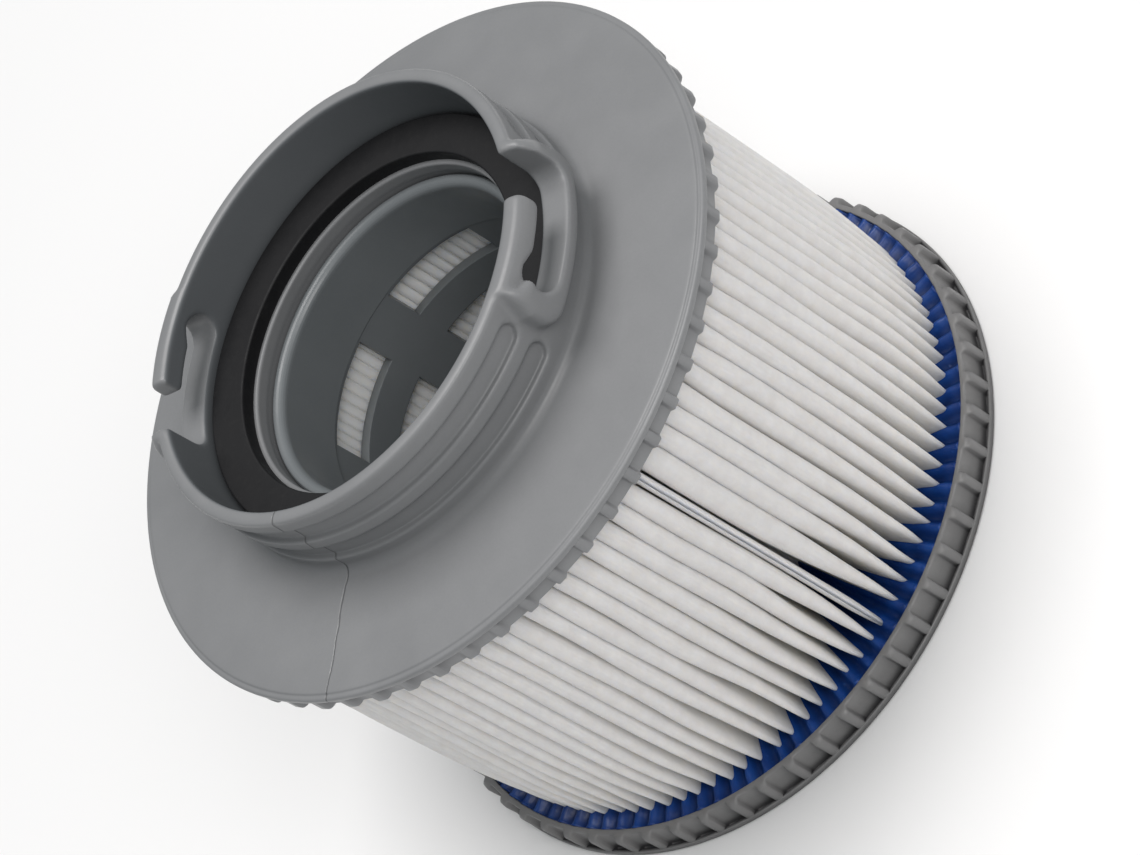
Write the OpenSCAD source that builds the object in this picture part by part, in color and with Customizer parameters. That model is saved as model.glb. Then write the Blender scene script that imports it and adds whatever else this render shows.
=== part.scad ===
// Twist-on pleated filter cartridge with a two-lug bayonet neck.
// Origin at the centre of the base, +Z towards the neck, +X through the middle of one bayonet slot.

/* [Overall] */
// Outer diameter of the top flange
flange_d = 108; // [107:0.5:110]
// Height from the base to the rim of the neck
total_h = 82.7; // [80:0.1:100]
// Outer diameter of the bottom cap
base_d = 105.6; // [105.2:0.1:106.4]

/* [Neck] */
// Height of the rim above the edge of the flange
neck_h = 16.7; // [16.7:0.1:18]
// Inside diameter of the neck
neck_bore = 65.4; // [65:0.1:65.6]
// Thickness of the neck's wall
neck_wall = 2.2; // [2:0.1:2.4]
// Height of each grip groove round the neck
groove_w = 3.4; // [3:0.1:3.5]
// Depth of the grip grooves
groove_depth = 0.9; // [0.5:0.1:1.1]

/* [Bayonet] */
// Width of the slot's entry at the rim
entry_w = 7.9; // [7:0.1:8]
// Height of the slot's channel under the hook
channel_h = 4.3; // [4.2:0.1:4.5]
// Radius of the round pocket at the channel's closed end
detent_r = 2.75; // [2.6:0.05:2.9]
// How far the slot's border stands out from the neck
border_out = 2.7; // [2.4:0.1:2.8]
// How far the hook stands out from the neck
hook_out = 1.1; // [0.8:0.1:1.4]

/* [Grip rings] */
// Ribs round each cap
rib_count = 60; // [48:2:64]
// Width of a rib
rib_w = 1.7; // [1.4:0.1:2]
// Height of the top cap's skirt below the edge of the flange
skirt_h = 4.4; // [4.2:0.1:5]
// Height of the bottom cap's skirt
base_h = 5.4; // [5.2:0.1:6]

/* [Seal] */
// Inside diameter of the rubber seal
seal_bore = 52.2; // [51.6:0.1:54]
// Thickness of the rubber seal
seal_t = 2.4; // [2:0.1:2.6]

/* [Core] */
// Inside diameter of the core tube
core_bore = 47.2; // [46.8:0.1:47.4]
// Windows round the core
window_cols = 6; // [4:1:8]
// Rows of windows up the core
window_rows = 4; // [2:1:4]
// Height of a window
window_h = 6.7; // [4:0.1:8]

/* [Pleats] */
// Number of pleats
pleats = 100; // [80:1:100]
// Outer diameter over the folds
pleat_d = 99; // [96:0.5:99.5]
// Thickness of the filter sheet
sheet_t = 0.6; // [0.5:0.05:0.6]

/* [Hidden] */
$fn = 96;

// Colours
cap_grey = [0.53, 0.54, 0.55];
seal_black = [0.09, 0.09, 0.10];
core_grey = [0.47, 0.49, 0.50];
sheet_white = [0.90, 0.89, 0.87];
glue_amber = [0.62, 0.50, 0.30];
resin_blue = [0.08, 0.18, 0.50];

// Levels, from the top down
rim_z = total_h;
flange_r = flange_d / 2;
flange_z = rim_z - neck_h;
seat_z = flange_z + 5;
seal_z = seat_z + seal_t;
core_top_z = flange_z + 2.2;
skirt_z = flange_z - skirt_h;
lip_t = 1.1;
resin_top_z = skirt_z + 0.6;
resin_low_z = base_h - 1.0;
floor_t = 2.4;

// Neck and flange
neck_ri = neck_bore / 2;
neck_ro = neck_ri + neck_wall;
plate_t = 2.0;
cone_rise = 1.25;
cone_slope = atan(cone_rise / (flange_r - neck_ro));
neck_fillet = 1.2;
edge_r = 0.5;
rim_edge_r = 0.5;

// Throat that the core tube is pushed into
throat_ri = 25.5;
throat_wall = 1.8;
throat_ro = throat_ri + throat_wall;
throat_z = flange_z - 2.0;
seat_t = 1.8;
seal_ro = neck_ri - 0.4;
trough_r = neck_ri - 0.8;

// Skirts
skirt_ri = 50.6;
rib_r = flange_r - 0.2;
recess_r = flange_r - 1.3;
rib_nose = 1.0;
top_rib_phase = 3;
base_r = base_d / 2;
base_skirt_ri = 50.6;
base_recess_r = base_r - 1.3;
base_lip_t = 1.2;
foot_ri = 44;
foot_h = 0.8;
gate_r = 2.5;
gate_h = 0.4;
locator_ro = core_bore / 2 - 0.2;
locator_wall = 1.7;
locator_h = 3;

// Bayonet slot, in the plane across one slot: y along the rim, z up
border_r = neck_ro + border_out;
hook_r = neck_ro + hook_out;
slot_floor_z = flange_z + 8.5;
hook_z = slot_floor_z + channel_h;
entry_y0 = 3.0;
entry_y1 = entry_y0 + entry_w;
detent_y = -7.2;
detent_z = slot_floor_z + detent_r;
entry_corner = 2.4;
hook_tip_r = 1.0;
border_low_z = slot_floor_z - 2.4;
border_y1 = 14.2;
border_y0 = -13.4;
border_top_y0 = -10.8;
border_corner = 2.8;
hook_step_y = -10.2;

// Grip grooves between the two borders
groove_top_z = rim_z - 3.2;
groove_pitch = 5.85;
groove_a0 = 27;
groove_a1 = 156;

// Core
core_ri = core_bore / 2;
core_ro = 25.4;
core_step_z = flange_z - 9;
core_step = 0.15;
core_edge = 1.3;
window_pitch_z = 12.6;
window_top_z = core_step_z - 0.5;
window_angle = 246 / window_cols;
window_gap_a = 20.5;

// Pleats
pleat_ro = pleat_d / 2;
pleat_ri = core_ro + 0.4;
fold_out = 0.92;
fold_in = 0.40;
fold_out_r = pleat_ro - fold_out - sheet_t / 2;
fold_in_r = pleat_ri + fold_in + sheet_t / 2;

// Seam where the two ends of the sheet are glued together
seam_a = -38;
seam_t = 0.5;
seam_depth = 8;
seam_r = pleat_ro - 0.8;
seam_mid = (seam_t + sheet_t) / 2;
seam_half = asin((seam_mid + fold_in) / fold_in_r);
pitch_a = (360 - 2 * seam_half) / pleats;

// Points of an arc about c, from angle a0 to a1
function arc(c, r, a0, a1, n = 6) =
    [for (i = [0:n]) let (a = a0 + (a1 - a0) * i / n) c + r * [cos(a), sin(a)]];

// Top of the slightly conical flange at radius r
function cone_z(r) = flange_z + cone_rise * (flange_r - r) / (flange_r - neck_ro);

// Turns a flat outline of y and z into a bar along X that crosses the wall on the +X side
module through_wall(r0, r1) {
    translate([r0, 0, 0]) rotate([90, 0, 90]) linear_extrude(r1 - r0) children();
}

// Copies a feature to both sides of the neck
module both_sides() {
    for (a = [0, 180]) rotate([0, 0, a]) children();
}

// Part of a ring with a rectangular section
module ring_sector(r0, r1, z0, z1, a0, a1) {
    rotate_extrude(angle = a1 - a0, start = a0) translate([r0, z0]) square([r1 - r0, z1 - z0]);
}

// Whole ring with a rectangular section
module ring(r0, r1, z0, z1) {
    rotate_extrude() translate([r0, z0]) square([r1 - r0, z1 - z0]);
}

// Pockets that leave the grip ribs standing
module rib_pockets(r, z0, z1, phase, outer_r) {
    pitch = 360 / rib_count;
    rib_a = rib_w / outer_r * 180 / PI;
    for (i = [0:rib_count - 1]) {
        a = phase + i * pitch + rib_a / 2;
        ring_sector(r, outer_r + 2, z0, z1, a, a + pitch - rib_a);
    }
}

// Section of the neck, throat, flange and skirt
module cap_section() {
    inner_lip = [
        [throat_ri, throat_z],
        [throat_ri, seat_z],
        [seal_ro, seat_z],
        [seal_ro, seal_z],
        [neck_ri, seal_z]
    ];
    rim = concat(
        arc([neck_ri + rim_edge_r, rim_z - rim_edge_r], rim_edge_r, 180, 90),
        arc([neck_ro - rim_edge_r, rim_z - rim_edge_r], rim_edge_r, 90, 0)
    );
    fillet_r = neck_ro + neck_fillet;
    fillet_z = cone_z(fillet_r) + neck_fillet / cos(cone_slope);
    fillet = arc([fillet_r, fillet_z], neck_fillet, 180, 270 - cone_slope);
    round_r = flange_r - edge_r;
    edge = arc([round_r, cone_z(round_r) - edge_r / cos(cone_slope)], edge_r, 90 - cone_slope, 0);
    skirt = concat(
        [[flange_r, flange_z - lip_t], [rib_r, flange_z - lip_t]],
        arc([rib_r - rib_nose, skirt_z + rib_nose], rib_nose, 0, -90),
        [[skirt_ri, skirt_z], [skirt_ri, cone_z(skirt_ri) - plate_t]]
    );
    underside = [
        [trough_r, cone_z(trough_r) - plate_t],
        [trough_r, seat_z - seat_t],
        [throat_ro, seat_z - seat_t],
        [throat_ro, throat_z]
    ];
    polygon(concat(inner_lip, rim, fillet, edge, skirt, underside));
}

// Outline of the raised border round one bayonet slot
module border_outline() {
    polygon(concat(
        [[border_top_y0, rim_z], [border_y0, detent_z]],
        arc([border_y0 + border_corner, border_low_z + border_corner], border_corner, 180, 270),
        arc([border_y1 - border_corner, border_low_z + border_corner], border_corner, 270, 360),
        [[border_y1, rim_z]]
    ));
}

// Outline of one L-shaped slot, open at the rim
module slot_outline() {
    above = rim_z + 2;
    polygon(concat(
        [[entry_y1, above]],
        arc([entry_y1 - entry_corner, slot_floor_z + entry_corner], entry_corner, 0, -90),
        arc([detent_y, detent_z], detent_r, 270, 90, 10),
        [[detent_y + detent_r, hook_z]],
        arc([entry_y0 - hook_tip_r, hook_z + hook_tip_r], hook_tip_r, -90, 0),
        arc([entry_y0 - hook_tip_r, rim_z - hook_tip_r], hook_tip_r, 0, 60, 4),
        [[entry_y0 - hook_tip_r, above]]
    ));
}

// Stock that the hook's outer face stands back from the border
module hook_relief_outline() {
    polygon([
        [hook_step_y, rim_z + 2],
        [hook_step_y, hook_z + 1.6],
        [detent_y, hook_z - 0.4],
        [entry_y0 + 1, hook_z - 0.4],
        [entry_y0 + 1, rim_z + 2]
    ]);
}

module slot_border() {
    intersection() {
        ring(neck_ro - 0.6, border_r, border_low_z - 1, rim_z);
        through_wall(neck_ri - 4, border_r + 2) border_outline();
    }
}

module hook_relief() {
    difference() {
        through_wall(neck_ri - 4, border_r + 2) hook_relief_outline();
        translate([0, 0, border_low_z]) cylinder(r = hook_r, h = rim_z);
    }
}

// One grip groove
module grip_groove(z0) {
    ring_sector(neck_ro - groove_depth, neck_ro + 1, z0, z0 + groove_w, groove_a0, groove_a1);
}

module top_cap() {
    color(cap_grey) difference() {
        union() {
            rotate_extrude() cap_section();
            both_sides() slot_border();
        }
        both_sides() {
            hook_relief();
            through_wall(neck_ri - 4, border_r + 2) slot_outline();
            grip_groove(groove_top_z - groove_w);
            grip_groove(groove_top_z - groove_w - groove_pitch);
        }
        rib_pockets(recess_r, skirt_z - 1, flange_z - lip_t, top_rib_phase, flange_r);
    }
}

module neck_seal() {
    r0 = seal_bore / 2;
    r1 = seal_ro;
    edge = 0.3;
    color(seal_black) rotate_extrude() polygon(concat(
        [[r0, seat_z], [r1, seat_z]],
        arc([r1 - edge, seal_z - edge], edge, 0, 90, 4),
        arc([r0 + edge, seal_z - edge], edge, 90, 180, 4)
    ));
}

module core_section() {
    polygon(concat(
        [[core_ri + core_step, floor_t], [core_ro, floor_t]],
        [[core_ro, core_top_z - 0.3], [core_ro - 0.3, core_top_z]],
        arc([core_ri + core_edge, core_top_z - core_edge], core_edge, 90, 180),
        [[core_ri, core_step_z], [core_ri + core_step, core_step_z - core_step]]
    ));
}

module core_cage() {
    color(core_grey) difference() {
        rotate_extrude() core_section();
        for (row = [0:window_rows - 1], col = [0:window_cols - 1]) {
            z1 = window_top_z - row * window_pitch_z;
            a0 = window_gap_a + (col + 0.5) * 360 / window_cols - window_angle / 2;
            ring_sector(core_ri - 2, core_ro + 2, z1 - window_h, z1, a0, a0 + window_angle);
        }
    }
}

// Points round a bend of radius d whose centre is on radius r at angle a
function bend(r, a, d, turns) = [for (b = turns) r * [cos(a), sin(a)] + d * [cos(a + b), sin(a + b)]];

// Free end of the sheet, beside the seam
function sheet_end(side, s) = [seam_r * cos(seam_a), seam_r * sin(seam_a)]
    + side * (seam_mid + s * sheet_t / 2) * [-sin(seam_a), cos(seam_a)];

// One face of the sheet, s = +1 on the outside of the outer folds and -1 on the inside
function sheet_face(s) = concat(
    [sheet_end(1, s)],
    [for (i = [0:pleats - 1]) let (a = seam_a + seam_half + (i + 0.5) * pitch_a) each concat(
        bend(fold_in_r, a - pitch_a / 2, fold_in - s * sheet_t / 2, [-90, -180, -270]),
        bend(fold_out_r, a, fold_out + s * sheet_t / 2, [-90:45:90])
    )],
    bend(fold_in_r, seam_a - seam_half, fold_in - s * sheet_t / 2, [-90, -180, -270]),
    [sheet_end(-1, s)]
);

// The whole sheet in section: out along one face and back along the other
module sheet_section() {
    inside = sheet_face(-1);
    back = [for (i = [len(inside) - 1:-1:0]) inside[i]];
    polygon(concat(sheet_face(1), back));
}

module pleated_media() {
    color(sheet_white) translate([0, 0, resin_low_z])
        linear_extrude(resin_top_z - resin_low_z) sheet_section();
}

// Bead of glue that joins the two ends of the sheet
module media_seam() {
    color(glue_amber) rotate([0, 0, seam_a])
        translate([seam_r - seam_depth, -seam_t / 2, resin_low_z])
        cube([seam_depth, seam_t, resin_top_z - resin_low_z]);
}

module top_potting() {
    color(resin_blue) rotate_extrude() polygon([
        [core_ro, resin_top_z],
        [skirt_ri, resin_top_z],
        [skirt_ri, cone_z(skirt_ri) - plate_t],
        [trough_r, cone_z(trough_r) - plate_t],
        [trough_r, seat_z - seat_t],
        [throat_ro, seat_z - seat_t],
        [throat_ro, throat_z],
        [core_ro, throat_z]
    ]);
}

module bottom_potting() {
    color(resin_blue) ring(core_ro, base_skirt_ri, floor_t, resin_low_z);
}

module base_section() {
    polygon(concat(
        [[0, foot_h - gate_h], [gate_r, foot_h - gate_h], [gate_r, foot_h]],
        [[foot_ri, foot_h], [foot_ri + foot_h, 0]],
        arc([base_r - edge_r, edge_r], edge_r, -90, 0),
        [[base_r, base_lip_t], [base_r - 0.2, base_lip_t]],
        arc([base_r - 0.2 - rib_nose, base_h - rib_nose], rib_nose, 0, 90),
        [[base_skirt_ri, base_h], [base_skirt_ri, floor_t]],
        [[locator_ro, floor_t], [locator_ro, floor_t + locator_h]],
        [[locator_ro - locator_wall, floor_t + locator_h], [locator_ro - locator_wall, floor_t]],
        [[0, floor_t]]
    ));
}

module bottom_cap() {
    color(cap_grey) difference() {
        rotate_extrude() base_section();
        rib_pockets(base_recess_r, base_lip_t, base_h + 1, 0, base_r);
    }
}

top_cap();
neck_seal();
core_cage();
pleated_media();
media_seam();
top_potting();
bottom_potting();
bottom_cap();
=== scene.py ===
import math

import bmesh
import bpy
import numpy as np
from mathutils import Matrix, Vector


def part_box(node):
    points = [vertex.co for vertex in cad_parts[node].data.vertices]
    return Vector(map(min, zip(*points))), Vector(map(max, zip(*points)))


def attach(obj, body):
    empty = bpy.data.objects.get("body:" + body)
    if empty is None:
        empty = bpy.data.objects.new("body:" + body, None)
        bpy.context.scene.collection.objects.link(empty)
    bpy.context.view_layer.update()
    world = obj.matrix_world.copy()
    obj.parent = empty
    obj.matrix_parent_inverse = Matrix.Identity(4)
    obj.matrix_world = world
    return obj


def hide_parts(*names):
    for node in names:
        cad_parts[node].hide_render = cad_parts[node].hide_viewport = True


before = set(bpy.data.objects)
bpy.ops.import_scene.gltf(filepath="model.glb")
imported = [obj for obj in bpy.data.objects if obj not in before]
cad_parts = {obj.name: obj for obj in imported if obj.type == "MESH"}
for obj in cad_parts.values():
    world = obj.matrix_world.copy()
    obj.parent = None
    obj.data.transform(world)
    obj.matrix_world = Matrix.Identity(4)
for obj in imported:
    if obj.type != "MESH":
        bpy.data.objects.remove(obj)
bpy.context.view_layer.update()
MM = 0.001
RNG = np.random.default_rng(7)  # its draws keep their order, so each run gives the same shapes
ROOT = "root"


# ---------------------------------------------------------------- measures, from the CAD model
def radii(node):
    """Smallest and largest distance of a CAD node from the cartridge's axis, in mm."""
    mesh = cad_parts[node].data
    co = np.zeros(len(mesh.vertices) * 3)
    mesh.vertices.foreach_get("co", co)
    r = np.hypot(*co.reshape(-1, 3)[:, :2].T) / MM
    return float(r.min()), float(r.max())


def levels(node):
    """Lowest and highest level of a CAD node, in mm."""
    low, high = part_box(node)
    return low.z / MM, high.z / MM


PLEAT_RI, PLEAT_RO = radii("pleated_media")
SHEET_Z0, SHEET_Z1 = levels("pleated_media")
RESIN_RI, RESIN_RO = radii("bottom_potting")
RESIN_Z0, RESIN_Z1 = levels("bottom_potting")


# ---------------------------------------------------------------- node helpers
class Nodes:
    """Short names for building one material's nodes. An input is named by its socket's name with _ for
    a space, or by i and its number."""

    def __init__(self, name):
        self.material = bpy.data.materials.new(name)
        self.material.use_nodes = True
        self.tree = self.material.node_tree
        self.shader = self.tree.nodes["Principled BSDF"]

    def add(self, kind, **inputs):
        node = self.tree.nodes.new(kind)
        for key, value in inputs.items():
            if key in ("operation", "data_type", "feature", "samples"):
                setattr(node, key, value)
            else:
                self.put(node, key, value)
        return node

    def put(self, node, key, value):
        name = key.replace("_", " ") if isinstance(key, str) else key
        if isinstance(key, str) and key.startswith("i") and key[1:].isdigit():
            socket = node.inputs[int(key[1:])]
        else:
            socket = node.inputs[name]
        if isinstance(value, bpy.types.NodeSocket):
            self.tree.links.new(value, socket)
        else:
            socket.default_value = value

    def place(self):
        """The point's place on the object, in mm."""
        where = self.add("ShaderNodeTexCoord").outputs["Object"]
        return self.add("ShaderNodeVectorMath", operation="SCALE", i0=where, i3=1 / MM).outputs[0]

    def noise(self, where, scale, detail=3.0, rough=0.55, stretch=None):
        """Noise from 0 to 1, with about scale features in a millimetre, fewer along a short stretch."""
        if stretch is not None:
            where = self.add("ShaderNodeVectorMath", operation="MULTIPLY", i0=where, i1=stretch).outputs[0]
        return self.add("ShaderNodeTexNoise", Vector=where, Scale=scale, Detail=detail,
                        Roughness=rough).outputs["Fac"]

    def math(self, operation, a, b=0.0, c=0.0, clamp=False):
        node = self.add("ShaderNodeMath", operation=operation, i0=a, i1=b, i2=c)
        node.use_clamp = clamp
        return node.outputs[0]

    def span(self, value, low, high, to_low=0.0, to_high=1.0):
        """Maps low..high of value onto to_low..to_high, held at both ends."""
        return self.add("ShaderNodeMapRange", Value=value, From_Min=low, From_Max=high, To_Min=to_low,
                        To_Max=to_high).outputs[0]

    def mix(self, share, a, b):
        """Colour a where share is 0, colour b where it is 1."""
        node = self.add("ShaderNodeMix", data_type="RGBA")
        for key, value in ((0, share), (6, a), (7, b)):
            if isinstance(value, bpy.types.NodeSocket):
                self.tree.links.new(value, node.inputs[key])
            else:
                node.inputs[key].default_value = value if key == 0 else (*value[:3], 1.0)
        return node.outputs[2]

    def bump(self, height, depth, strength=1.0, normal=None):
        """A normal for a relief of depth mm, on top of another normal."""
        node = self.add("ShaderNodeBump", Height=height, Distance=depth * MM, Strength=strength)
        if normal is not None:
            self.put(node, "Normal", normal)
        return node.outputs[0]

    def set(self, **values):
        for key, value in values.items():
            self.put(self.shader, key, value)
        return self.material


def paint(obj, material):
    obj.data.materials.clear()
    obj.data.materials.append(material)


# ---------------------------------------------------------------- materials
KNIT_ANGLE = math.radians(-101)  # the moulding's knit line crosses the flange here
BORE_SHADE_R = (32.8, 33.1)  # the painted shade on the bore's wall fades out between these radii
BORE_SHADE_Z = (71.4, 72.0)  # and fades in between these levels
# colour of the painted shade laid into corners and recesses
CORNER_SHADE_TONE = (0.012, 0.012, 0.014)


def moulded_plastic(name, light, dark, rough, edge_radius, knit=False, corner_shade=0.35, reach=2.2):
    """Satin moulded plastic, worn along its edges, with painted shade in its corners. With knit it also
    gets a knit line on the flange and painted shade on the wall of the neck's bore."""
    n = Nodes(name)
    at = n.place()
    tone = n.noise(at, 0.06, 3)
    speck = n.noise(at, 2.6, 2)
    colour = n.mix(n.span(tone, 0.3, 0.7), dark, light)
    colour = n.mix(n.span(speck, 0.35, 0.75, 0, 0.10), colour, [c * 0.7 for c in dark])
    corner = n.add("ShaderNodeBevel", samples=6, Radius=edge_radius * MM).outputs[0]
    face = n.add("ShaderNodeNewGeometry").outputs["Normal"]
    facing = n.add("ShaderNodeVectorMath", operation="DOT_PRODUCT", i0=corner, i1=face).outputs["Value"]
    edge = n.span(facing, 0.995, 0.86, 0, 1)
    wear = n.math("MULTIPLY", edge, n.span(n.noise(at, 0.9, 4), 0.4, 0.7, 0.1, 0.6))
    colour = n.mix(wear, colour, [min(1, c * 1.5) for c in light])
    # painted shade: the colour darkens where ambient occlusion finds corners and recesses
    shade = n.add("ShaderNodeAmbientOcclusion", samples=6, Distance=reach * MM).outputs["AO"]
    colour = n.mix(n.span(shade, 0.3, 0.9, corner_shade, 0), colour, CORNER_SHADE_TONE)
    if knit:
        flat = n.add("ShaderNodeVectorMath", operation="MULTIPLY", i0=at, i1=(1, 1, 0)).outputs[0]
        away = n.add("ShaderNodeVectorMath", operation="LENGTH", i0=flat).outputs["Value"]
        height = n.add("ShaderNodeSeparateXYZ", i0=at).outputs["Z"]
        # painted shade on the wall of the neck's bore, which lies in shadow inside the neck
        bore_shade = n.math("MULTIPLY", n.span(away, *BORE_SHADE_R, 1, 0), n.span(height, *BORE_SHADE_Z))
        colour = n.mix(n.math("MULTIPLY", bore_shade, 0.42), colour, (0.03, 0.045, 0.055))
    smudge = n.span(n.noise(at, 0.11, 5, 0.62), 0.42, 0.68)
    gloss = n.math("MULTIPLY_ADD", smudge, 0.12, rough)
    gloss = n.math("MULTIPLY_ADD", n.noise(at, 5.0, 2), 0.06, gloss)
    peel = n.bump(n.noise(at, 0.8, 2), 0.010, 0.8, corner)
    grain = n.bump(n.noise(at, 7.0, 3), 0.003, 0.7, peel)
    if knit:
        along = (math.cos(KNIT_ANGLE), math.sin(KNIT_ANGLE), 0)
        across = (-math.sin(KNIT_ANGLE), math.cos(KNIT_ANGLE), 0)
        wave = n.math("MULTIPLY_ADD", n.noise(at, 0.22, 3), 1.6, -0.8)
        offset = n.add("ShaderNodeVectorMath", operation="DOT_PRODUCT", i0=at, i1=across).outputs["Value"]
        outward = n.add("ShaderNodeVectorMath", operation="DOT_PRODUCT", i0=at, i1=along).outputs["Value"]
        off = n.math("ABSOLUTE", n.math("ADD", offset, wave))
        line = n.math("MULTIPLY", n.span(off, 0.02, 0.22, 1, 0), n.span(outward, 31, 33))
        colour = n.mix(n.math("MULTIPLY", line, 0.75), colour, [c * 0.35 for c in dark])
        grain = n.bump(line, -0.12, 0.9, grain)
    n.put(n.shader, "Base Color", colour)
    return n.set(Roughness=gloss, Normal=grain, Specular_IOR_Level=0.5)


def rubber():
    """Matte black rubber with a little dust."""
    n = Nodes("seal_rubber")
    at = n.place()
    dust = n.span(n.noise(at, 0.9, 5, 0.7), 0.52, 0.75, 0, 0.35)
    colour = n.mix(dust, (0.007, 0.007, 0.008), (0.020, 0.020, 0.020))
    corner = n.add("ShaderNodeBevel", samples=4, Radius=0.2 * MM).outputs[0]
    fine = n.bump(n.noise(at, 3.5, 4), 0.012, 0.8, corner)
    n.put(n.shader, "Base Color", colour)
    return n.set(Roughness=n.span(n.noise(at, 0.35, 3), 0.3, 0.7, 0.5, 0.66), Normal=fine,
                 Specular_IOR_Level=0.3)


def fleece():
    """White non-woven sheet, with a warm painted shade deep between the pleats and painted light round the
    core.
    """
    n = Nodes("filter_sheet")
    at = n.place()
    flat = n.add("ShaderNodeVectorMath", operation="MULTIPLY", i0=at, i1=(1, 1, 0)).outputs[0]
    radius = n.add("ShaderNodeVectorMath", operation="LENGTH", i0=flat).outputs["Value"]
    # painted shade: a warm tint deep between the pleats, where their shadow falls
    depth = n.span(radius, 44.0, 49.0, 1, 0)
    cloud = n.noise(at, 0.35, 4, 0.6)
    white = n.mix(n.span(cloud, 0.35, 0.65), (0.69, 0.664, 0.650), (0.75, 0.726, 0.712))
    colour = n.mix(n.math("MULTIPLY", depth, 0.6), white, (0.82, 0.79, 0.70))
    # painted light: the folds round the core are whiter, standing in for light coming through the sheet
    inner = n.span(radius, 28.0, 33.0, 1, 0)
    colour = n.mix(inner, colour, (0.93, 0.92, 0.88))
    fibre = n.noise(at, 5.5, 5, 0.7, (1, 1, 0.35))
    cross = n.noise(at, 6.5, 4, 0.7, (0.4, 0.4, 1.3))
    felt = n.math("ADD", fibre, cross)
    colour = n.mix(n.span(felt, 0.75, 1.25, 0.07, 0), colour, (0.5, 0.48, 0.45))
    bump = n.bump(n.noise(at, 0.55, 3), 0.10, 0.6)
    bump = n.bump(felt, 0.035, 0.75, bump)
    n.put(n.shader, "Base Color", colour)
    return n.set(Roughness=n.span(fibre, 0.3, 0.7, 0.82, 0.95), Normal=bump, Specular_IOR_Level=0.25,
                 Sheen_Weight=0.15, Sheen_Roughness=0.5, Subsurface_Weight=1.0,
                 Subsurface_Radius=(1.0, 0.9, 0.75), Subsurface_Scale=1.6 * MM)


def resin():
    """Blue cast resin with small bubbles, with painted shade in its hollows."""
    n = Nodes("potting_resin")
    at = n.place()
    cloud = n.noise(at, 0.25, 4, 0.6)
    colour = n.mix(n.span(cloud, 0.35, 0.7), (0.004, 0.032, 0.17), (0.007, 0.058, 0.27))
    height = n.add("ShaderNodeSeparateXYZ", i0=at).outputs["Z"]
    # painted shade: darker where the resin's surface lies low, between the collars round the pleats
    low = n.span(height, RESIN_Z1 - 0.3, RESIN_Z1 + 0.6, 0.75, 0)
    colour = n.mix(low, colour, (0.002, 0.010, 0.05))
    spots = n.add("ShaderNodeTexVoronoi", Vector=at, Scale=0.55, feature="F1").outputs["Distance"]
    bubble = n.span(spots, 0.05, 0.16, 1, 0)
    colour = n.mix(n.math("MULTIPLY", bubble, 0.15), colour, (0.02, 0.12, 0.42))
    ripple = n.bump(n.noise(at, 0.7, 3), 0.12, 0.7)
    ripple = n.bump(bubble, 0.08, 0.6, ripple)
    n.put(n.shader, "Base Color", colour)
    return n.set(Roughness=n.span(n.noise(at, 0.6, 3), 0.3, 0.7, 0.34, 0.5), Normal=ripple,
                 Specular_IOR_Level=0.35, Subsurface_Weight=0.1, Subsurface_Radius=(0.1, 0.3, 1.0),
                 Subsurface_Scale=1.0 * MM, Coat_Weight=0.1, Coat_Roughness=0.2)


def glue():
    """Hot-melt glue, amber and slightly lumpy."""
    n = Nodes("seam_glue")
    at = n.place()
    colour = n.mix(n.noise(at, 0.5, 4), (0.20, 0.13, 0.05), (0.42, 0.31, 0.16))
    n.put(n.shader, "Base Color", colour)
    return n.set(Roughness=n.span(n.noise(at, 1.2, 3), 0.3, 0.7, 0.3, 0.5),
                 Normal=n.bump(n.noise(at, 0.9, 3), 0.12, 0.7), Subsurface_Weight=0.2,
                 Subsurface_Scale=1.0 * MM)


CAP = moulded_plastic("cap_plastic", (0.218, 0.222, 0.228), (0.196, 0.200, 0.206), 0.33, 0.12, knit=True)
# the base gets stronger painted shade, reaching further, in its pockets
CAP_BASE = moulded_plastic("base_plastic", (0.205, 0.203, 0.203), (0.178, 0.176, 0.176), 0.38, 0.12,
                           corner_shade=0.9, reach=3.2)
CORE = moulded_plastic("core_plastic", (0.168, 0.182, 0.190), (0.146, 0.160, 0.168), 0.28, 0.2)
SEAL = rubber()
FLEECE = fleece()
RESIN = resin()
GLUE = glue()


# ---------------------------------------------------------------- mesh helpers
def mesh_object(name, points, faces, material):
    """A smooth-shaded mesh object from points in mm and lists of corner numbers."""
    mesh = bpy.data.meshes.new(name)
    mesh.from_pydata((np.asarray(points, float) * MM).tolist(), [], [list(map(int, f)) for f in faces])
    mesh.validate()
    mesh.update()
    mesh.polygons.foreach_set("use_smooth", [True] * len(mesh.polygons))
    obj = bpy.data.objects.new(name, mesh)
    bpy.context.scene.collection.objects.link(obj)
    paint(obj, material)
    return obj


def grid_faces(ids, wrap_rows=False, wrap_cols=False):
    """Quads over a table of point numbers."""
    ids = np.asarray(ids)
    if wrap_rows:
        ids = np.vstack([ids, ids[:1]])
    if wrap_cols:
        ids = np.hstack([ids, ids[:, :1]])
    return np.stack([ids[:-1, :-1], ids[:-1, 1:], ids[1:, 1:], ids[1:, :-1]], -1).reshape(-1, 4)


def face_out(obj):
    """Turns all faces to the outside of a closed mesh."""
    bm = bmesh.new()
    bm.from_mesh(obj.data)
    bmesh.ops.recalc_face_normals(bm, faces=bm.faces)
    bm.to_mesh(obj.data)
    bm.free()


def ease(t):
    """0 to 1 with a soft start and a soft end."""
    t = np.clip(t, 0, 1)
    return t * t * (3 - 2 * t)


def soft_noise(knots, at, spread):
    """A smooth seeded curve through random knots, one row for each place in spread."""
    values = RNG.normal(0, 1, (spread, knots))
    t = np.clip(at, 0, 1) * (knots - 1)
    i = np.minimum(t.astype(int), knots - 2)
    f = ease(t - i)
    return values[:, i] * (1 - f) + values[:, i + 1] * f


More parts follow.
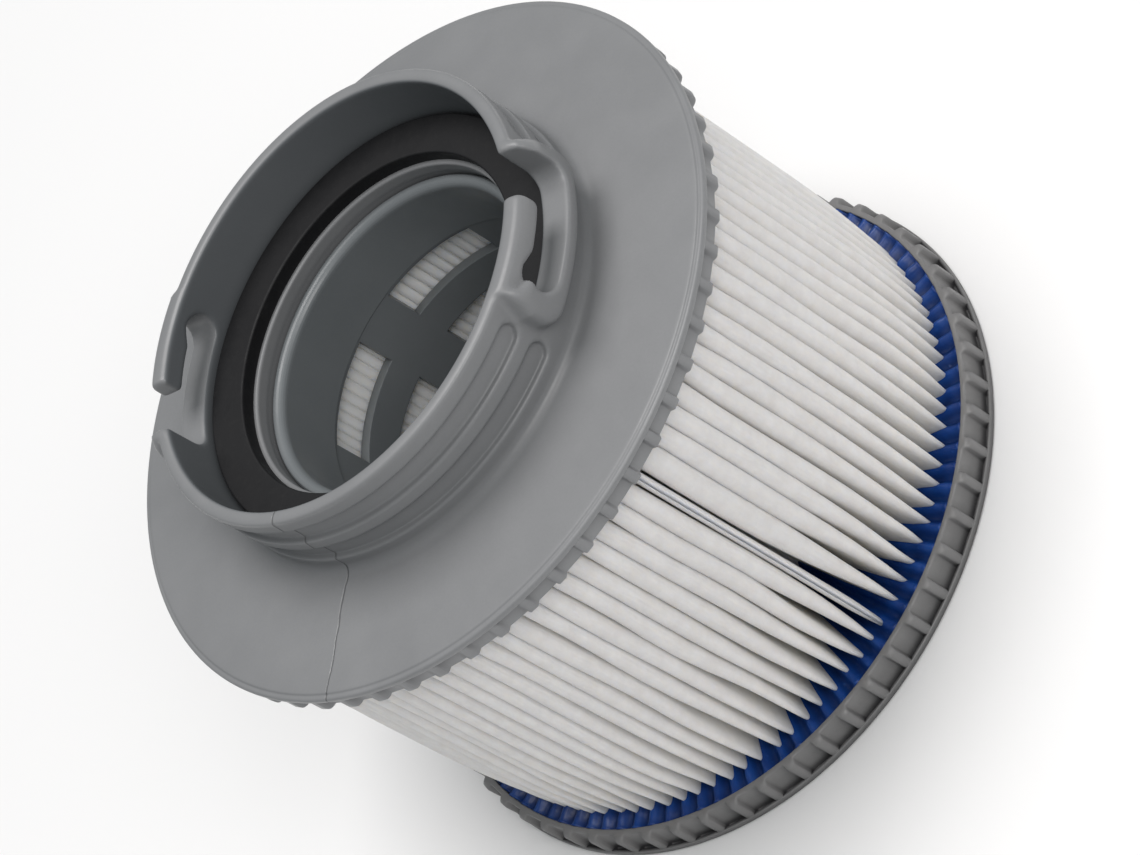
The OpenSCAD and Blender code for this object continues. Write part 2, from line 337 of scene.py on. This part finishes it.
# ---------------------------------------------------------------- top cap, with its moulded fillets
# The sizes that the frame doesn't hold repeat part.scad's, in mm.
CAP_HIGH = levels("top_cap")[1]
CAP_R = radii("top_cap")[1]
NECK_RI, NECK_RO = 32.7, 34.9
FLANGE_Z = CAP_HIGH - 16.7
CONE_RISE, PLATE_T = 1.25, 2.0
SEAT_Z, SEAT_T, THROAT_Z = FLANGE_Z + 5, 1.8, FLANGE_Z - 2
THROAT_RI, THROAT_RO, TROUGH_R = 25.5, 27.3, 31.9
SKIRT_Z, SKIRT_RI, RIB_R, POCKET_R = levels("top_cap")[0], 50.6, CAP_R - 0.2, CAP_R - 1.3
BORDER_R, HOOK_R = NECK_RO + 2.7, NECK_RO + 1.2
SLOT_Z = FLANGE_Z + 8.5
HOOK_Z = SLOT_Z + 4.3
GROOVE_R, GROOVE_DEPTH, GROOVE_STEP = 1.7, 0.9, 5.85
GROOVE_TOP = CAP_HIGH - 3.2
GROOVE_SPAN = (math.radians(27), math.radians(156))  # angles past a slot's middle
JOIN_R = 40.0  # where the neck's mesh meets the flange's
RIBS = 60
RIB_W = 1.7
AWAY = 50.0  # added to a distance to keep a feature off the neck's other side


def cone(r):
    """Level of the flange's slightly conical top at radius r."""
    return FLANGE_Z + CONE_RISE * (CAP_R - r) / (CAP_R - NECK_RO)


def smax(a, b, k):
    """Largest of two distances, with the edge where they meet rounded over about k."""
    h = np.maximum(k - np.abs(a - b), 0)
    return np.maximum(a, b) + h * h / (4 * k)


def smin(a, b, k):
    """Smallest of two distances, with the corner where they meet filled over about k."""
    return -smax(-a, -b, k)


def arc(cx, cz, r, a0, a1, n=6):
    """n + 1 points on a circle, from angle a0 to angle a1 in degrees."""
    t = np.radians(np.linspace(a0, a1, n + 1))
    return list(zip(cx + r * np.cos(t), cz + r * np.sin(t)))


def outline_distance(outline, y, z):
    """Signed distance from (y, z) to a closed outline, negative inside."""
    best = np.full(np.broadcast(y, z).shape, 1e9)
    inside = np.zeros(best.shape, bool)
    for (ay, az), (by, bz) in zip(outline, outline[1:] + outline[:1]):
        ey, ez = by - ay, bz - az
        t = np.clip(((y - ay) * ey + (z - az) * ez) / (ey * ey + ez * ez), 0, 1)
        best = np.minimum(best, (y - ay - t * ey) ** 2 + (z - az - t * ez) ** 2)
        if abs(ez) > 1e-9:
            crosses = ((az > z) != (bz > z)) & (y < ey * (z - az) / ez + ay)
            inside ^= crosses
    return np.where(inside, -1, 1) * np.sqrt(best)


def border_outline():
    """Raised border round a bayonet slot, as (distance along the wall, level)."""
    return [(-11.9, CAP_HIGH), (-13.5, SLOT_Z + 2.75), *arc(-10.6, SLOT_Z + 0.4, 2.8, 180, 270),
            *arc(11.4, SLOT_Z + 0.4, 2.8, 270, 360), (13.6, SLOT_Z + 4.5), (12.3, CAP_HIGH)]


def slot_outline():
    """The slot: open at the rim, then a channel that ends in a round pocket under the hook."""
    above = CAP_HIGH + 3
    pocket = arc(-7.2, SLOT_Z + 2.75, 2.75, 270, 90, 12)
    return [(10.9, above), *arc(8.5, SLOT_Z + 2.4, 2.4, 0, -90), *pocket, (-4.45, HOOK_Z),
            *arc(2.0, HOOK_Z + 1.0, 1.0, -90, 0), (3.0, above)]


def relief_outline():
    """Where the border is thinner, over the hook."""
    return [(-11.5, CAP_HIGH + 3), (-10.7, HOOK_Z + 1.6), (-7.2, HOOK_Z - 0.4), (4.0, HOOK_Z - 0.4),
            (4.0, CAP_HIGH + 3)]


def neck_field(phi, r, z):
    """Signed distance, about, to the neck, seat, throat and inner flange of the top cap."""
    wall = np.maximum(smax(r - NECK_RO, z - CAP_HIGH, 0.9), smax(NECK_RI - r, z - CAP_HIGH, 0.8))
    low = np.maximum(np.maximum(TROUGH_R - r, r - NECK_RO), z - SEAT_Z)
    wall = np.maximum(np.minimum(wall, low), cone(NECK_RI) - PLATE_T - z)
    plate = np.maximum(z - cone(r), np.maximum(cone(r) - PLATE_T - z, TROUGH_R - r))
    body = smin(wall, plate, 1.7)
    seat = np.maximum(np.maximum(THROAT_RI - r, r - NECK_RI - 0.5),
                      np.maximum(z - SEAT_Z, SEAT_Z - SEAT_T - z))
    throat = smax(np.maximum(THROAT_RI - r, r - THROAT_RO), np.maximum(THROAT_Z - z, z - SEAT_Z), 0.3)
    body = smin(body, smin(seat, throat, 0.5), 0.5)
    y = r * np.sin(phi)
    ahead = np.cos(phi) > 0
    far = np.where(ahead, 0, AWAY)
    border = smax(outline_distance(border_outline(), y, z), r - BORDER_R, 1.2)
    border = smax(border, r - NECK_RO - 0.9 - 0.7 * (CAP_HIGH - z), 1.0)
    body = smin(body, np.maximum(border, NECK_RI + 0.8 - r) + far, 0.8)
    body = smax(body, z - CAP_HIGH, 0.9)
    relief = np.maximum(outline_distance(relief_outline(), y, z), HOOK_R - r) + far
    body = smax(body, -relief, 1.3)
    body = smax(body, -outline_distance(slot_outline(), y, z) - far, 0.55)
    turn = np.where(phi < 0.05, phi + math.pi, phi)
    end = GROOVE_R / NECK_RO
    along = np.clip(turn, GROOVE_SPAN[0] + end, GROOVE_SPAN[1] - end)
    for top in (GROOVE_TOP, GROOVE_TOP - GROOVE_STEP):
        groove = np.hypot((turn - along) * NECK_RO, z - (top - GROOVE_R)) - GROOVE_R
        body = smax(body, -smax(groove, NECK_RO - GROOVE_DEPTH - r, 0.35), 0.3)
    return body


def steps(*spans):
    """Samples over spans (start, stop, step) that follow each other."""
    out = []
    for start, stop, step in spans:
        count = max(1, int(round((stop - start) / step)))
        out += list(start + (stop - start) * np.arange(count) / count)
    return np.array(out + [spans[-1][1]])


def surface_net(field, axes, wrap):
    """Quads on the zero surface of a field sampled on three axes, the first one closed if wrap. Returns the
    points in axis units, the quads, and each cell's point number."""
    inside = field < 0
    n = field.shape
    cells = (n[0] if wrap else n[0] - 1, n[1] - 1, n[2] - 1)

    def corner(a, i, j, k):
        if wrap:
            a = np.roll(a, -i, 0)
            return a[:, j:j + cells[1], k:k + cells[2]]
        return a[i:i + cells[0], j:j + cells[1], k:k + cells[2]]

    total = np.zeros(cells + (3,))
    count = np.zeros(cells)
    for axis in range(3):
        for p in (0, 1):
            for q in (0, 1):
                start = [p, q]
                start.insert(axis, 0)
                stop = [p, q]
                stop.insert(axis, 1)
                f0, f1 = corner(field, *start), corner(field, *stop)
                hit = (f0 < 0) != (f1 < 0)
                t = np.where(hit, f0 / np.where(hit, f0 - f1, 1), 0)
                for c in range(3):
                    total[..., c] += hit * (start[c] if c != axis else t)
                count += hit
    active = count > 0
    ids = np.full(cells, -1)
    ids[active] = np.arange(active.sum())
    where = np.argwhere(active) + total[active] / count[active][:, None]
    points = np.stack([np.interp(where[:, c], np.arange(len(axes[c])), axes[c]) for c in range(3)], -1)
    quads = []
    for axis in range(3):
        ahead = np.roll(inside, -1, axis) if (axis == 0 and wrap) else None
        if ahead is None:
            lo = [slice(None)] * 3
            hi = [slice(None)] * 3
            lo[axis], hi[axis] = slice(0, -1), slice(1, None)
            here, there = inside[tuple(lo)], inside[tuple(hi)]
        else:
            here, there = inside, ahead
        change = np.argwhere(here != there)
        into = here[tuple(change.T)]
        b, c = [(1, 2), (2, 0), (0, 1)][axis]
        near = []
        for db, dc in ((-1, -1), (0, -1), (0, 0), (-1, 0)):
            at = change.copy()
            at[:, b] += db
            at[:, c] += dc
            if wrap:
                at[:, 0] %= cells[0]
            near.append(at)
        ok = np.ones(len(change), bool)
        for at in near:
            for c3 in range(3):
                ok &= (at[:, c3] >= 0) & (at[:, c3] < cells[c3])
        corners = np.stack([ids[tuple(at[ok].T)] for at in near], -1)
        turn = ~into[ok]
        corners[turn] = corners[turn][:, ::-1]
        quads.append(corners)
    return points, np.concatenate(quads), ids


def neck_mesh():
    """Points in mm and faces of the neck down to the flange at JOIN_R, with its two open edges there."""
    fine, coarse = math.radians(0.75), math.radians(2.0)
    slot_from, slot_to = math.radians(-34), math.radians(36)
    half = steps((-math.pi / 2, slot_from, coarse), (slot_from, slot_to, fine),
                 (slot_to, math.pi / 2, coarse))[:-1]
    r = steps((24.9, 28.1, 0.32), (28.1, 31.6, 0.7), (31.6, 38.6, 0.30), (38.6, JOIN_R + 0.8, 0.55))
    z = steps((THROAT_Z - 0.6, FLANGE_Z + 1.5, 0.36), (FLANGE_Z + 1.5, CAP_HIGH + 0.6, 0.265))
    field = neck_field(half[:, None, None], r[None, :, None], z[None, None, :])
    field = np.concatenate([field, field])
    turns = np.concatenate([half, half + math.pi])
    axes = (np.append(turns, turns[0] + 2 * math.pi), r, z)
    points, quads, ids = surface_net(field, axes, True)
    phi, rr, zz = points.T
    xyz = np.stack([rr * np.cos(phi), rr * np.sin(phi), zz], -1)
    rim = ids[:, -1, :]
    loops = [[row[row >= 0][-1] for row in rim], [row[row >= 0][0] for row in rim]]
    return xyz, quads, [np.array(loop) for loop in loops]


def zip_loops(a, a_turn, b, b_turn):
    """Triangles between two closed loops of points, each with its angle, in rising order."""
    faces, i, j = [], 0, 0
    na, nb = len(a), len(b)
    ta = np.append(a_turn, a_turn[0] + 2 * math.pi)
    tb = np.append(b_turn, b_turn[0] + 2 * math.pi)
    while i < na or j < nb:
        if j >= nb or (i < na and ta[i + 1] <= tb[j + 1]):
            faces.append((a[i % na], a[(i + 1) % na], b[j % nb]))
            i += 1
        else:
            faces.append((a[i % na], b[(j + 1) % nb], b[j % nb]))
            j += 1
    return faces


def rib_columns(outer_r, phase):
    """Angles of the columns round a ribbed ring, close together at the ribs' sides, and for each one 1 on
    a rib to 0 beside it."""
    pitch = 2 * math.pi / RIBS
    rib = RIB_W / outer_r / 2
    soft = 0.16 / outer_r
    side = np.array([0, rib - 1.5 * soft, rib - 0.5 * soft, rib + 0.5 * soft, rib + 1.5 * soft])
    local = np.concatenate([-side[:0:-1], side, [pitch / 2]])
    turn = np.concatenate([phase + i * pitch + local for i in range(RIBS)])
    return turn, np.tile(ease((rib + 1.5 * soft - np.abs(local)) / (3 * soft)), RIBS)


def flange_mesh(start):
    """Points in mm and faces of the outer flange and the ribbed skirt, one open section for each column,
    with the first and last rows, which are open edges."""
    turn, on_rib = rib_columns(CAP_R, math.radians(3))
    outer = POCKET_R + (RIB_R - POCKET_R) * on_rib
    one = np.ones_like(turn)
    lip_z = FLANGE_Z - 1.1
    rows = []

    def add(r, z):
        rows.append((r * one, z * one))

    for r in (JOIN_R + 1.2, 43, 46, 49, 51.2, 52.4, 52.85):
        add(r, cone(r))
    step_z = cone(53.0)
    for r, drop in ((52.98, 0.02), (53.08, 0.11), (53.16, 0.2), (53.28, 0.23), (53.45, 0.23)):
        add(r, step_z - drop)
    for a in (90, 65, 40, 15, 0):
        t = math.radians(a)
        add(CAP_R - 0.4 + 0.4 * math.cos(t), step_z - 0.23 - 0.4 + 0.4 * math.sin(t))
    for a in (0, -35, -70, -90):
        t = math.radians(a)
        add(CAP_R - 0.2 + 0.2 * math.cos(t), lip_z + 0.2 + 0.2 * math.sin(t))
    rows.append((np.minimum(outer + 0.12, CAP_R - 0.2), lip_z * one))
    rows.append((outer + 0.03, lip_z * one - 0.04))
    rows.append((outer, lip_z * one - 0.16))
    nose = 0.35 + 0.65 * on_rib
    for share in (0.45, 1.0):
        rows.append((outer, lip_z - 0.16 - (lip_z - 0.16 - SKIRT_Z - nose) * share))
    for a in (-20, -42, -65, -90):
        t = math.radians(a)
        rows.append((outer - nose + nose * math.cos(t), SKIRT_Z + nose + nose * math.sin(t)))
    add(SKIRT_RI + 0.25, SKIRT_Z)
    add(SKIRT_RI + 0.06, SKIRT_Z + 0.07)
    add(SKIRT_RI, SKIRT_Z + 0.25)
    add(SKIRT_RI, cone(SKIRT_RI) - PLATE_T - 0.5)
    add(SKIRT_RI - 0.5, cone(SKIRT_RI) - PLATE_T)
    add(JOIN_R + 1.2, cone(JOIN_R + 1.2) - PLATE_T)
    points = np.stack([np.stack([r * np.cos(turn), r * np.sin(turn), z], -1) for r, z in rows])
    ids = start + np.arange(points.shape[0] * points.shape[1]).reshape(points.shape[:2])
    return points.reshape(-1, 3), grid_faces(ids, wrap_cols=True), ids[0], ids[-1]


def by_angle(ids, points):
    """Point numbers in rising order of their angle, and the angles."""
    turn = np.arctan2(points[ids, 1], points[ids, 0])
    order = np.argsort(turn)
    return ids[order], turn[order]


def top_cap():
    """The neck's net and the flange's grid, zipped together into one closed skin."""
    neck, quads, loops = neck_mesh()
    rim, strips, first, last = flange_mesh(len(neck))
    points = np.concatenate([neck, rim])
    faces = [*quads, *strips]
    for loop, row in zip(loops, (first, last)):
        a, a_turn = by_angle(loop, points)
        b, b_turn = by_angle(row, points)
        faces += zip_loops(a, a_turn, b, b_turn)
    obj = mesh_object("cap_moulding", points, faces, CAP)
    face_out(obj)
    return obj


def base_cap():
    """The bottom cap: floor, locating ring, ribbed wall with a rim at its foot, and underside."""
    high = levels("bottom_cap")[1]
    base_r = radii("bottom_cap")[1]
    turn, on_rib = rib_columns(base_r, 0)
    rib_r, pocket_r = base_r - 0.2, base_r - 1.3
    outer = pocket_r + (rib_r - pocket_r) * on_rib
    one = np.ones_like(turn)
    rows = []

    def add(r, z):
        rows.append((r * one, z * one))

    def bend(cx, cz, r, a0, a1, n=4):
        for q, h in arc(cx, cz, r, a0, a1, n):
            add(q, h)

    floor, foot, lip = 2.4, 0.8, 1.2
    ring_ri, ring_ro, ring_z, soft = 21.7, 23.4, floor + 3, 0.3
    for r in (2.0, 8, 16, ring_ri - soft):
        add(r, floor)
    bend(ring_ri + soft, ring_z - soft, soft, 180, 90, 3)
    bend(ring_ro - soft, ring_z - soft, soft, 90, 0, 3)
    for r in (ring_ro, 30, 40, 49.9):
        add(r, floor)
    bend(RESIN_RO - 0.3, floor + 0.3, 0.3, -90, 0, 2)
    bend(RESIN_RO + 0.22, high - 0.22, 0.22, 180, 90)
    nose = 0.3 + 0.6 * on_rib
    for a in (90, 65, 42, 20, 0):
        t = math.radians(a)
        rows.append((outer - nose + nose * math.cos(t), high - nose + nose * math.sin(t)))
    pit = lip - 0.85 * (1 - on_rib)
    rim_r, rim_ro = base_r - 0.55, base_r - 0.15
    rows.append((outer, (high - nose) * 0.5 + lip * 0.5))
    rows.append((outer, pit + 0.12))
    rows.append((np.minimum(outer + 0.12, rim_ro), pit))
    rows.append((np.maximum(rim_r - 0.08, np.minimum(outer + 0.14, rim_ro)), pit))
    rows.append((np.maximum(rim_r, np.minimum(outer + 0.15, rim_ro)), np.maximum(pit, lip - 0.1)))
    rows.append((np.maximum(rim_r + 0.1, np.minimum(outer + 0.16, rim_ro)), lip * one))
    bend(base_r - 0.14, lip - 0.14, 0.14, 90, 0, 2)
    bend(base_r - 0.5, 0.5, 0.5, 0, -90)
    for r, z in ((48, 0), (45.1, 0), (44.8, 0.08), (44.1, 0.72), (43.8, foot), (30, foot), (15, foot),
                 (2.6, foot), (2.45, foot - 0.1), (2.4, foot - 0.35), (2.2, foot - 0.4)):
        add(r, z)
    points = np.stack([np.stack([r * np.cos(turn), r * np.sin(turn), z], -1) for r, z in rows])
    n = points.shape[0] * points.shape[1]
    ids = np.arange(n).reshape(points.shape[:2])
    faces = [list(f) for f in grid_faces(ids, wrap_cols=True)]
    for row, tip in ((ids[0], n), (ids[-1], n + 1)):
        faces += [[a, b, tip] for a, b in zip(row, np.roll(row, -1))]
    points = np.concatenate([points.reshape(-1, 3), [[0, 0, floor], [0, 0, foot - 0.4]]])
    obj = mesh_object("base_moulding", points, faces, CAP_BASE)
    face_out(obj)
    return obj


cap = top_cap()
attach(cap, ROOT)
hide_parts("top_cap")

base = base_cap()
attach(base, ROOT)
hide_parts("bottom_cap")


# ---------------------------------------------------------------- pleated sheet
PLEATS = 100
SEAM_A = math.radians(-38)  # middle of the wide gap where the sheet's ends meet
SEAM_HALF = math.radians(2.05)
FIN_A = SEAM_A - math.radians(0.75)  # the two glued ends stand here
SHEET_T = 0.6
SHEET_SINK, SHEET_TUCK = 0.9, 0.6  # how far the sheet goes into the resin below and above
TAPER = 0.40  # share of the height over which the folds draw in towards the bottom
PITCH = (2 * math.pi - 2 * SEAM_HALF) / PLEATS


def pleat_levels():
    """Levels of the sheet's rows, close together where the folds change most, and their share of the
    height."""
    low, high = SHEET_Z0 - SHEET_SINK, SHEET_Z1 + SHEET_TUCK
    share = np.array([0, 0.02, 0.04, 0.065, 0.10, 0.14, 0.19, 0.25, 0.32, 0.40, 0.5, 0.6, 0.7, 0.8, 0.88,
                      0.94, 0.98, 1.0])
    return low + share * (high - low), share


def pleated_sheet():
    """The folded sheet: each level's mid-line runs from one end, fold by fold round the core, to the
    other end, and the sheet is half its thickness to each side of it."""
    z, s = pleat_levels()
    nz = len(z)
    angle = SEAM_A + SEAM_HALF + (np.arange(PLEATS) + 0.5) * PITCH
    reach = np.clip(s[None, :] / (0.60 + 0.05 * RNG.normal(0, 1, (PLEATS, 1))), 0, 1)
    pinch = 1 - (1 - reach) ** 1.55
    crown = 1 - 0.05 * ease((s[None, :] - 0.72) / 0.28)
    half = (0.10 + 1.14 * pinch) * crown * (1 + 0.025 * RNG.normal(0, 1, (PLEATS, 1)))
    half = np.clip(half + 0.02 * soft_noise(6, s, PLEATS) * pinch, 0.08, 1.25)
    sway = 0.16 * soft_noise(5, s, PLEATS) * ease(s / 0.1) * ease((1 - s) / 0.1) + \
        0.08 * RNG.normal(0, 1, (PLEATS, 1))
    for i, (lean, wider) in enumerate(((0.75, 0.45), (0.40, 0.20), (0.18, 0.10), (0.06, 0.04))):
        sway[i] -= lean * ease(s / 0.55)
        half[i] += wider * ease(s / 0.55)
    tip_r = PLEAT_RO - 0.05 - 1.25 * (1 - np.clip(s[None, :] / TAPER, 0, 1)) ** 2 \
        + np.minimum(0, 0.10 * soft_noise(5, s, PLEATS) + 0.08 * RNG.normal(0, 1, (PLEATS, 1)) - 0.10)
    thick = SHEET_T - 0.22 * (1 - np.clip(s / 0.16, 0, 1)) ** 1.5
    depth = 1.55
    centre_r = tip_r - thick / 2 - depth
    in_depth, in_half = 0.34, 0.51
    in_r = PLEAT_RI + SHEET_T / 2 + in_depth
    turns = np.radians([-90, -66, -44, -22, 0, 22, 44, 66, 90])
    bends = np.radians([-90, -135, -180, -225, -270])
    belly = 0.35 * soft_noise(5, s, PLEATS)
    rows, depths = [], []

    def add(r, a, share=1.0):
        rows.append(np.stack([r * np.cos(a), r * np.sin(a)], -1))
        depths.append(thick * share)

    def inner(a):
        for b in bends:
            add(np.full(nz, in_r + in_depth * np.cos(b)), a + np.full(nz, in_half * np.sin(b) / in_r))

    def free_end(side):
        lower = 0.12 if side < 0 else 0.0
        top = PLEAT_RO - 0.45 - lower - 1.15 * (1 - np.clip(s / TAPER, 0, 1)) ** 2
        for drop, share in ((0.0, 0.9), (0.3, 1.25), (0.8, 1.5), (2.0, 1.6), (5.0, 1.5), (13.0, 1.2)):
            off = share * thick / 2 - 0.2 + 0.012 * drop
            yield top - drop, FIN_A + side * off / (top - drop), share

    for r, a, share in free_end(1):
        add(r, a, share)
    for i in range(PLEATS):
        inner(angle[i] - PITCH / 2)
        a_out = angle[i] + sway[i] / centre_r[i]
        for side in (-1, 1):
            if side == 1:
                for b in turns:
                    add(centre_r[i] + depth * np.cos(b) ** 0.92, a_out + half[i] * np.sin(b) / centre_r[i])
            r_mid = (centre_r[i] + in_r) / 2
            a_in = angle[i] + side * (PITCH / 2 - in_half / in_r)
            a_edge = a_out + side * half[i] / centre_r[i]
            add(r_mid, (a_edge + a_in) / 2 + side * (0.10 + 0.05 * belly[i]) / r_mid)
    inner(SEAM_A - SEAM_HALF)
    for r, a, share in reversed(list(free_end(-1))):
        add(r, a, share)

    line = np.stack(rows)
    half_t = np.stack(depths)[..., None] / 2
    back = np.diff(line, axis=0, prepend=line[:1])
    ahead = np.diff(line, axis=0, append=line[-1:])

    def unit(v):
        return v / np.maximum(np.linalg.norm(v, axis=-1, keepdims=True), 1e-9)

    tangent = unit(unit(back) + unit(ahead))
    normal = np.stack([tangent[..., 1], -tangent[..., 0]], -1)
    both = []
    for side in (1, -1):
        xy = line + side * normal * half_t
        both.append(np.concatenate([xy, np.broadcast_to(z, xy.shape[:2])[..., None]], -1))
    n = line.shape[0]
    points = np.concatenate([b.reshape(-1, 3) for b in both])
    front = np.arange(n * nz).reshape(n, nz)
    rear = front + n * nz
    faces = list(grid_faces(np.vstack([front, rear[::-1]]), wrap_rows=True))
    for k in (0, nz - 1):
        faces += list(grid_faces(np.stack([front[:, k], rear[:, k]])))
    obj = mesh_object("pleated_sheet", points, faces, FLEECE)
    face_out(obj)
    obj.data.set_sharp_from_angle(angle=math.radians(60))
    return obj


sheet = pleated_sheet()
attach(sheet, ROOT)
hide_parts("pleated_media")


# ---------------------------------------------------------------- cast resin in the bottom cap
def bottom_resin():
    """The resin's ring, with a low ridge where it creeps up each pleat."""
    cols = PLEATS * 10
    a = np.linspace(0, 2 * math.pi, cols, endpoint=False)
    r = np.array([RESIN_RI, 27, 32, 38, 43, 45.5, 46.6, 47.3, 47.9, 48.4, 48.8, 49.2, 49.6, 49.9,
                  50.15, 50.3, RESIN_RO])
    rel = (a - SEAM_A - SEAM_HALF) / PITCH - 0.5
    nearest = (rel - np.round(rel)) * PITCH
    rr, aa = np.meshgrid(r, nearest)
    turn = np.meshgrid(r, a)[1]
    across = rr * aa
    past = np.maximum(rr - (PLEAT_RO - 0.9), 0)
    collar = 1.25 * np.exp(-(np.maximum(np.abs(across) - 0.2, 0) / 0.66) ** 2) * np.exp(-(past / 3.2) ** 2)
    wall = 0.45 * np.exp(-((RESIN_RO - rr) / 0.45))
    noise = 0.10 * np.sin(turn * 23) * np.sin(rr * 1.7)
    lumps = 0.12 * RNG.normal(0, 1, (PLEATS + 1,))
    which = np.clip(np.round(rel).astype(int), 0, PLEATS)[:, None]
    zz = RESIN_Z1 - 0.25 + collar * (1 + lumps[which]) + wall + noise
    top = np.stack([rr * np.cos(a)[:, None], rr * np.sin(a)[:, None], zz], -1)
    base = [(RESIN_RO, RESIN_Z0), (RESIN_RI, RESIN_Z0)]
    low = np.stack([np.stack([q * np.cos(a), q * np.sin(a), np.full(cols, h)], -1) for q, h in base], 1)
    ring = np.concatenate([top, low], 1)
    ids = np.arange(ring.shape[0] * ring.shape[1]).reshape(ring.shape[:2])
    obj = mesh_object("cast_resin", ring.reshape(-1, 3), grid_faces(ids, True, True), RESIN)
    face_out(obj)
    return obj


cast = bottom_resin()
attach(cast, ROOT)
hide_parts("bottom_potting")


# ---------------------------------------------------------------- glue bead of the sheet's seam
def seam_bead():
    """The glue between the sheet's two ends, a thin wedge that widens inwards."""
    share = np.linspace(0, 1, 60)
    z = np.linspace(SHEET_Z0 - 0.5, SHEET_Z1 + 0.3, len(share))
    grow = 0.10 * soft_noise(22, share, 1)[0]
    out_r = PLEAT_RO - 1.15 + 0.6 * grow - 1.1 * (1 - np.clip(share / TAPER, 0, 1)) ** 2
    section = [(-9.0, -0.30), (-7.0, -0.20), (-4.0, -0.10), (-1.2, -0.03), (0.0, 0.0), (-1.2, 0.03),
               (-4.0, 0.10), (-7.0, 0.20), (-9.0, 0.30)]
    rows = []
    for depth, side in section:
        r = out_r + depth
        off = side * (1 + grow)
        rows.append(np.stack([r * math.cos(FIN_A) - off * math.sin(FIN_A),
                              r * math.sin(FIN_A) + off * math.cos(FIN_A), z], -1))
    grid = np.stack(rows)
    n, m = grid.shape[:2]
    ids = np.arange(n * m).reshape(n, m)
    faces = [list(f) for f in grid_faces(ids, wrap_rows=True)]
    faces += [list(ids[:, 0]), list(ids[::-1, -1])]
    obj = mesh_object("glue_bead", grid.reshape(-1, 3), faces, GLUE)
    face_out(obj)
    return obj


bead = seam_bead()
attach(bead, ROOT)
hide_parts("media_seam")


# ---------------------------------------------------------------- CAD nodes that stay
for node, material in (("core_cage", CORE), ("neck_seal", SEAL), ("top_potting", RESIN)):
    paint(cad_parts[node], material)


# ---------------------------------------------------------------- floor, light and camera
LIGHTS_AIM = (0, 0, 0.04)
CAMERA_AIM = (0.00079, 0.00098, 0.0333)
CAMERA_FROM = (-39.0, 38.87)  # azimuth and elevation, in degrees
CAMERA_ROLL = -59.07
CAMERA_AWAY = 0.6263


def direction(azimuth, elevation):
    """Unit vector towards an azimuth and elevation in degrees."""
    az, el = math.radians(azimuth), math.radians(elevation)
    return Vector((math.cos(el) * math.cos(az), math.cos(el) * math.sin(az), math.sin(el)))


def area(name, azimuth, elevation, distance, size, power, colour):
    """A square soft light that points at the object."""
    data = bpy.data.lights.new(name, "AREA")
    data.shape = "RECTANGLE"
    data.size = data.size_y = size
    data.energy = power
    data.color = colour
    lamp = bpy.data.objects.new(name, data)
    out = direction(azimuth, elevation)
    lamp.location = Vector(LIGHTS_AIM) + out * distance
    lamp.rotation_euler = out.to_track_quat("Z", "Y").to_euler()
    bpy.context.scene.collection.objects.link(lamp)


def studio():
    """Pale floor, pale world and two soft lights."""
    mesh = bpy.data.meshes.new("floor")
    bm = bmesh.new()
    bmesh.ops.create_grid(bm, x_segments=8, y_segments=8, size=3.0)
    bm.to_mesh(mesh)
    bm.free()
    floor = bpy.data.objects.new("floor", mesh)
    bpy.context.scene.collection.objects.link(floor)
    n = Nodes("floor")
    n.set(Base_Color=(0.84, 0.84, 0.84, 1), Roughness=0.9)
    paint(floor, n.material)
    world = bpy.data.worlds.new("studio")
    bpy.context.scene.world = world
    world.use_nodes = True
    back = world.node_tree.nodes["Background"]
    back.inputs["Color"].default_value = (0.90, 0.97, 1.0, 1)
    back.inputs["Strength"].default_value = 0.27
    area("key", 95, 76, 1.8, 1.1, 25.5, (1.0, 0.975, 0.965))
    area("front", -28, 44, 1.5, 0.8, 10.5, (1.0, 0.975, 0.96))


def camera():
    az, roll = math.radians(CAMERA_FROM[0]), math.radians(CAMERA_ROLL)
    back = direction(*CAMERA_FROM)
    right0 = Vector((-math.sin(az), math.cos(az), 0))
    up0 = back.cross(right0)
    right = math.cos(roll) * right0 + math.sin(roll) * up0
    up = -math.sin(roll) * right0 + math.cos(roll) * up0
    data = bpy.data.cameras.new("camera")
    data.lens, data.sensor_width = 136.0, 36.0
    data.clip_start = 0.01
    eye = bpy.data.objects.new("camera", data)
    turn = Matrix((right, up, back)).transposed()
    eye.matrix_world = Matrix.Translation(Vector(CAMERA_AIM) + back * CAMERA_AWAY) @ turn.to_4x4()
    bpy.context.scene.collection.objects.link(eye)
    bpy.context.scene.camera = eye


studio()
camera()
bpy.context.scene.view_settings.view_transform = "Standard"
